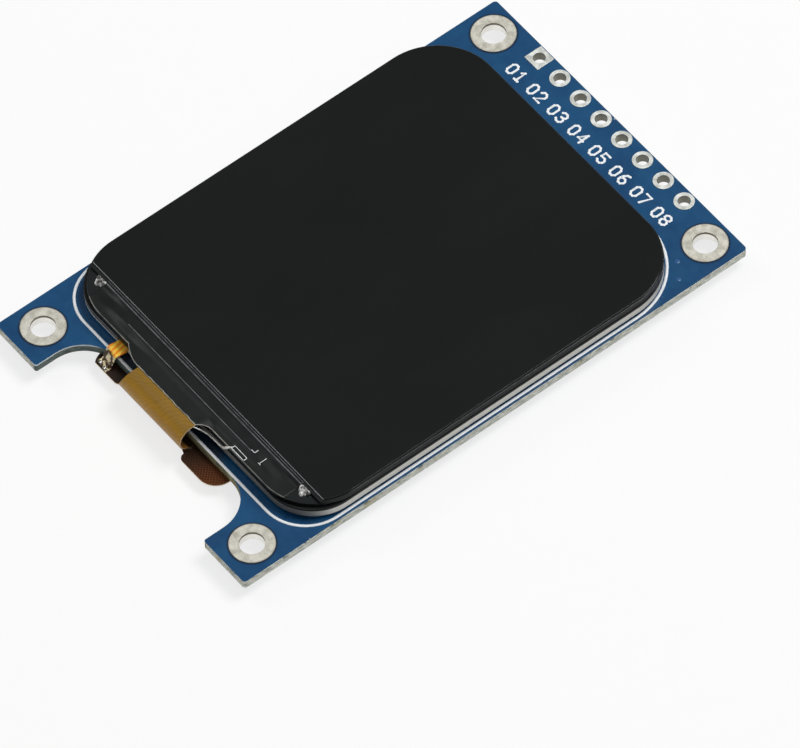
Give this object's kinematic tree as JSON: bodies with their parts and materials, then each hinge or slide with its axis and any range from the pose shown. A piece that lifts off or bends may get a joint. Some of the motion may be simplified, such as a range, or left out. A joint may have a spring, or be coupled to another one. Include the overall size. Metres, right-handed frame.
{
  "type": "ips tft lcd module",
  "caption": "Small rounded colour display panel with an edge-lit backlight, taped to a notched blue circuit board with corner holes and a row of plated pin holes.",
  "frame": {"origin": "centre of the board's outline, on the plane of the lowest part on the back", "axes": "+X across the display to the side away from pin one, +Y along the board to the pin row, +Z out of the display face"},
  "size_m": [0.0308, 0.0486, 0.0038],
  "materials": {
    "board_blue": "blue solder mask over glass-fibre board",
    "ring_tin": "dull tinned copper",
    "pad_tin": "bright tinned copper",
    "foam_black": "black double-sided foam tape",
    "tray_steel": "thin pressed stainless steel",
    "frame_black": "black moulded plastic",
    "reflector_white": "silver-white film",
    "guide_clear": "clear acrylic",
    "sheet_milky": "milky film",
    "prism_clear": "fine-ribbed clear film",
    "tape_black": "black film tape",
    "strip_gold": "amber polyimide over copper tracks",
    "lamp_white": "white lamp case",
    "polariser_dark": "glossy near-black film",
    "panel_glass": "polished edges, dark stack",
    "chip_silicon": "bare silicon",
    "film_black": "glossy black film",
    "bead_clear": "clear sealant",
    "flex_amber": "amber polyimide over copper tracks",
    "solder": "bright solder",
    "epoxy_black": "black moulded epoxy",
    "leg_tin": "tinned leads",
    "capacitor_tan": "tan ceramic",
    "resistor_black": "black glazed top",
    "cap_tin": "tinned end caps"
  },
  "bodies": {
    "root": {"board": "board_blue", "hole_rings": "ring_tin", "pin_pads": "pad_tin", "foam_tape": "foam_black", "backlight_tray": "tray_steel", "backlight_frame": "frame_black", "reflector": "reflector_white", "light_guide": "guide_clear", "diffuser": "sheet_milky", "lower_prism_sheet": "prism_clear", "upper_prism_sheet": "prism_clear", "rim_tape": "tape_black", "lamp_strip": "strip_gold", "lamps": "lamp_white", "lower_polariser": "polariser_dark", "array_glass": "panel_glass", "filter_glass": "panel_glass", "upper_polariser": "polariser_dark", "driver_chip": "chip_silicon", "ledge_film": "film_black", "edge_beads": "bead_clear", "main_flex": "flex_amber", "tail_solder": "solder", "tab_solder": "solder", "three_leg_bodies": "epoxy_black", "three_leg_legs": "leg_tin", "capacitor_bodies": "capacitor_tan", "resistor_bodies": "resistor_black", "end_caps": "cap_tin", "part_solder": "solder"}
  },
  "joints": []
}
